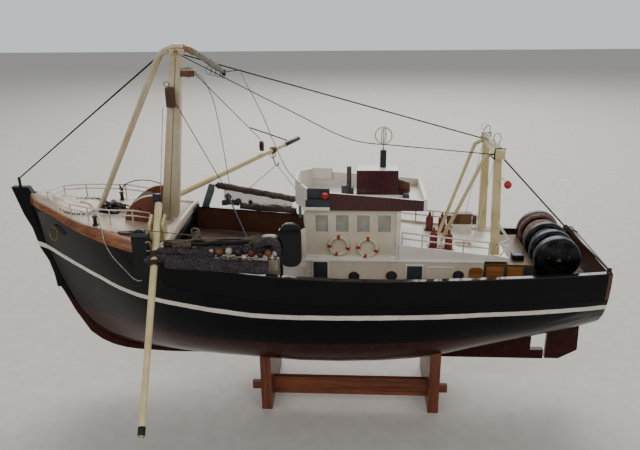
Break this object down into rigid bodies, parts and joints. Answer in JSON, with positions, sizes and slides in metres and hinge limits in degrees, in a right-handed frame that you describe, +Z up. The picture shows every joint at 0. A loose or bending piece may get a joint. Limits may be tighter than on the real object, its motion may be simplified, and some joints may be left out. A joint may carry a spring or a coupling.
{
  "type": "wooden scale model of a fishing trawler on its cradle",
  "caption": "Wooden model of a beam trawler with a wheelhouse, mast, side booms, trawl gear, gantry and net drum, standing on a wooden cradle.",
  "frame": {"origin": "centre of the underside of the forward cradle board, on the surface the model stands on", "axes": "+X towards the stern, +Y to starboard, +Z up"},
  "size_m": [0.642, 0.4858, 0.406],
  "materials": {
    "hull_paint": "satin black and oxide red paint on wood",
    "bulwark_paint": "black outside, dark brown inside",
    "deck_plank": "oiled planks",
    "varnished_wood": "varnished",
    "cream_spar": "cream paint",
    "white_paint": "off-white paint",
    "maroon_paint": "satin maroon paint",
    "terracotta_paint": "terracotta stain",
    "navy_paint": "navy paint",
    "bottle_paint": "red-brown paint on turned wood",
    "wire": "dull wire",
    "black_metal": "black paint",
    "grey_metal": "blue-grey paint",
    "net": "gathered netting",
    "cord": "twisted grey twine",
    "cradle_wood": "stained wood"
  },
  "bodies": {
    "boat": {"hull": "hull_paint", "stem_keel": "hull_paint", "bulwark_port": "bulwark_paint", "bulwark_starboard": "bulwark_paint", "bulwark_stern": "bulwark_paint", "main_deck": "deck_plank", "whaleback": "varnished_wood", "bow_rail_port": "wire", "bow_rail_starboard": "wire", "mast": "cream_spar", "mast_leg_port": "cream_spar", "mast_leg_starboard": "cream_spar", "forestays": "wire", "winch_cheek_port": "terracotta_paint", "winch_cheek_starboard": "terracotta_paint", "boom_post_port": "navy_paint", "boom_post_starboard": "navy_paint", "boom_rest": "cream_spar", "port_shoe_fore": "black_metal", "port_shoe_aft": "black_metal", "port_beam": "black_metal", "port_net": "net", "starboard_shoe_fore": "grey_metal", "starboard_beam": "black_metal", "starboard_net": "net", "deckhouse": "white_paint", "stern_locker": "varnished_wood", "wheelhouse_side_port": "white_paint", "wheelhouse_side_starboard": "white_paint", "wheelhouse_front": "white_paint", "wheelhouse_back": "white_paint", "roof_tray": "maroon_paint", "roof_box": "maroon_paint", "roof_post": "black_metal", "aerial": "navy_paint", "boat_deck": "white_paint", "boat_rail_port": "wire", "boat_rail_starboard": "wire", "gantry": "cream_spar", "gantry_leg_port": "cream_spar", "gantry_leg_starboard": "cream_spar", "drum_stand_port": "black_metal", "drum_stand_starboard": "black_metal", "fish_box": "white_paint", "cradle_board_fore": "cradle_wood", "cradle_board_aft": "cradle_wood", "cradle_stretcher": "cradle_wood", "aft_stay": "wire", "starboard_shoe_aft": "grey_metal", "bottles_port": "bottle_paint", "bottles_starboard": "bottle_paint", "bow_line": "cord", "mast_line": "cord", "stay_line": "cord"},
    "port_boom": {"port_boom": "cream_spar"},
    "starboard_boom": {"starboard_boom": "cream_spar"},
    "winch_drum": {"winch_drum": "black_metal"},
    "net_drum": {"net_drum": "black_metal"},
    "rudder": {"rudder": "hull_paint"}
  },
  "joints": [
    {"name": "port_boom_luff", "type": "hinge", "parent": "boat", "child": "port_boom", "pos_m": [-0.109, -0.031, 0.2435], "axis": [-0.9865, -0.1637, 0], "range_deg": [0, 95]},
    {"name": "starboard_boom_luff", "type": "hinge", "parent": "boat", "child": "starboard_boom", "pos_m": [-0.109, 0.031, 0.233], "axis": [0.849, -0.5285, 0], "range_deg": [0, 60]},
    {"name": "winch_drum_spin", "type": "hinge", "parent": "boat", "child": "winch_drum", "pos_m": [-0.135, 0, 0.233], "axis": [0, 1, 0], "continuous": true},
    {"name": "net_drum_spin", "type": "hinge", "parent": "boat", "child": "net_drum", "pos_m": [0.3104, 0, 0.19], "axis": [0, 1, 0], "continuous": true},
    {"name": "rudder_turn", "type": "hinge", "parent": "boat", "child": "rudder", "pos_m": [0.326, 0, 0.07], "axis": [0, 0, 1], "range_deg": [-35, 35]}
  ]
}
